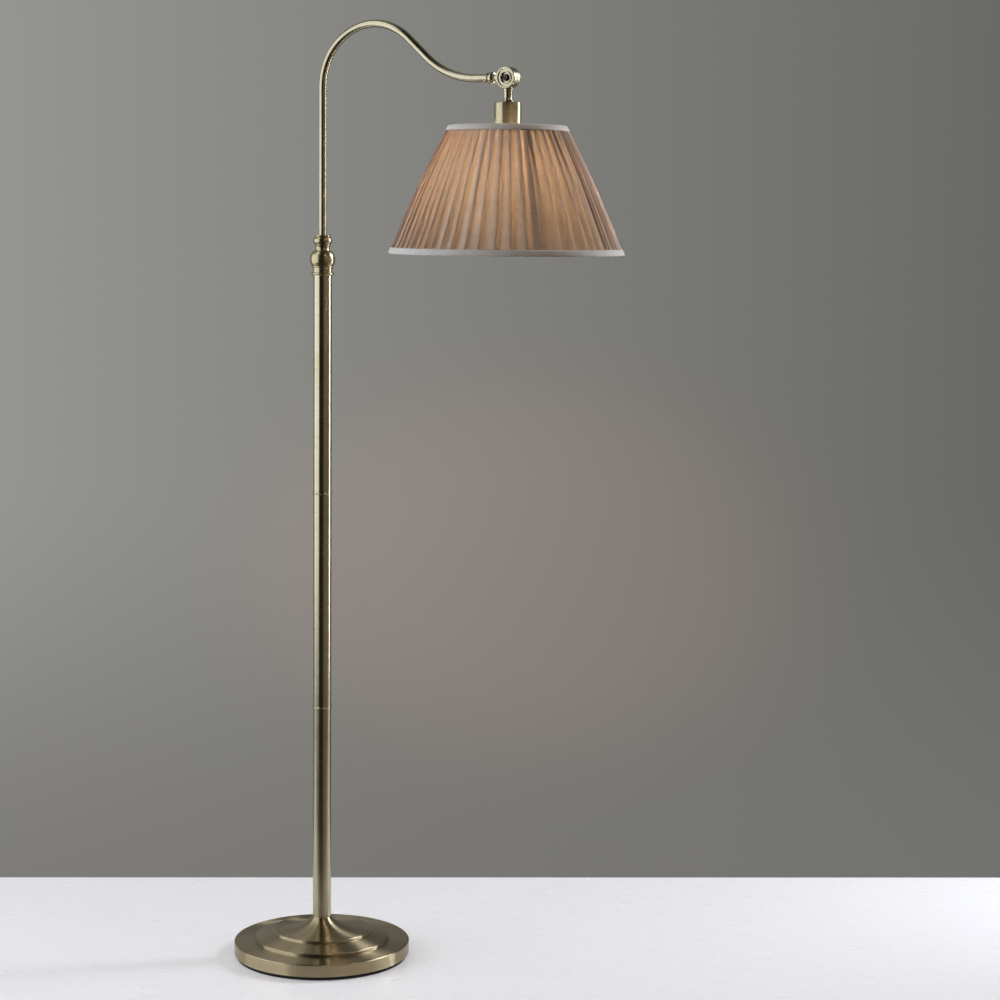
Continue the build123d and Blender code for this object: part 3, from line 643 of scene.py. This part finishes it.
def make_backdrop():
    """Grey studio: lighter to the left, with a faint warm patch behind the lamp."""
    world = bpy.data.worlds.new("studio")
    scene.world = world
    world.use_nodes = True
    tree = world.node_tree
    tree.nodes.clear()

    def add(kind, *sockets, **settings):
        return add_node(tree, kind, *sockets, **settings)

    def along(direction):
        return add("VectorMath", way, tuple(direction), operation="DOT_PRODUCT", out=1)

    def stretch(value, low, high):
        return add("MapRange", value, low, high, 0.0, 1.0, interpolation_type="SMOOTHSTEP")

    way = add("TexCoord", out=0)
    aside, ahead, height = along(RIGHT), along(AHEAD), along(UP)
    sideways = add("Math", add("MapRange", aside, -0.2, 0.2, 0.0, 1.0), 0.85, operation="POWER")
    high = mix_node(tree, sideways, HIGH_LEFT, HIGH_RIGHT)
    low = mix_node(tree, sideways, LOW_LEFT, LOW_RIGHT)
    wall_tone = mix_node(tree, stretch(height, -0.10, -0.28), high, low)
    off = add("CombineXYZ", add("Math", aside, POOL[0], operation="SUBTRACT"),
              add("Math", height, POOL[1], operation="SUBTRACT"))
    reach = add("VectorMath", add("VectorMath", off, POOL_SPREAD, operation="DIVIDE"),
                operation="LENGTH", out=1)
    warmth = mix_node(tree, stretch(reach, 1.0, 0.35), (1, 1, 1), POOL_TINT)
    wall_tone = add("VectorMath", wall_tone, warmth, operation="MULTIPLY")
    front = mix_node(tree, stretch(along(FAR_SIDE), 0.70, 0.95), ROOM_DARK, ROOM_WARM)
    room_tone = mix_node(tree, stretch(ahead, -0.15, 0.1), front, wall_tone)
    seen = add("LightPath", out=0)
    tone = mix_node(tree, seen, room_tone, wall_tone)
    background = add("Background", tone, 1.0)
    add("OutputWorld", background)


def softbox(name, turn, distance, height, size, radiance, colour=(1, 1, 1), aim=0.9):
    """Rectangular light, turned from the camera's side round the pole, facing it."""
    data = bpy.data.lights.new(name, "AREA")
    data.shape, data.size, data.size_y = "RECTANGLE", size[0], size[1]
    data.energy, data.color = radiance * pi * size[0] * size[1], colour
    side = CAMERA_SIDE + radians(turn)
    place = Vector((cos(side), sin(side), 0)) * distance + UP * height
    light = bpy.data.objects.new(name, data)
    toward = (UP * aim - place).to_track_quat("-Z", "Y").to_matrix().to_4x4()
    light.matrix_world = Matrix.Translation(place) @ toward
    light.visible_camera = False
    scene.collection.objects.link(light)


def make_lights():
    cool, amber = (0.96, 1.0, 1.10), (1.0, 0.62, 0.34)
    softbox("key_left", turn=-79, distance=1.7, height=1.2, size=(2.5, 2.0), radiance=1.9,
            colour=cool, aim=1.1)
    softbox("strip_right", turn=100, distance=1.6, height=1.2, size=(0.16, 2.0), radiance=11.0,
            colour=cool, aim=1.1)
    softbox("high_left", turn=-70, distance=1.3, height=2.6, size=(1.0, 1.0), radiance=2.0,
            colour=cool, aim=1.2)
    softbox("high_right", turn=102, distance=2.6, height=2.3, size=(0.8, 0.8), radiance=15.5,
            colour=cool, aim=0.5)
    softbox("warm_right", turn=32, distance=1.3, height=2.2, size=(0.3, 0.3), radiance=4.0,
            colour=amber)
    glow = bpy.data.lights.new("bulb_light", "POINT")
    glow.energy, glow.color = 0.85, (1.0, 0.82, 0.66)
    glow.shadow_soft_size, glow.use_soft_falloff = BULB_R + 1 * mm, False
    lamp = bpy.data.objects.new("bulb_light", glow)
    lamp.location = BULB_CENTRE
    lamp.visible_camera = False
    scene.collection.objects.link(lamp)


# ---- put it together --------------------------------------------------------------------
make_camera()
finishes, own_axis = make_finishes()
finish_frame(finishes, own_axis)
make_shade(finishes)
make_floor()
make_backdrop()
make_lights()
scene.view_settings.view_transform = "Standard"
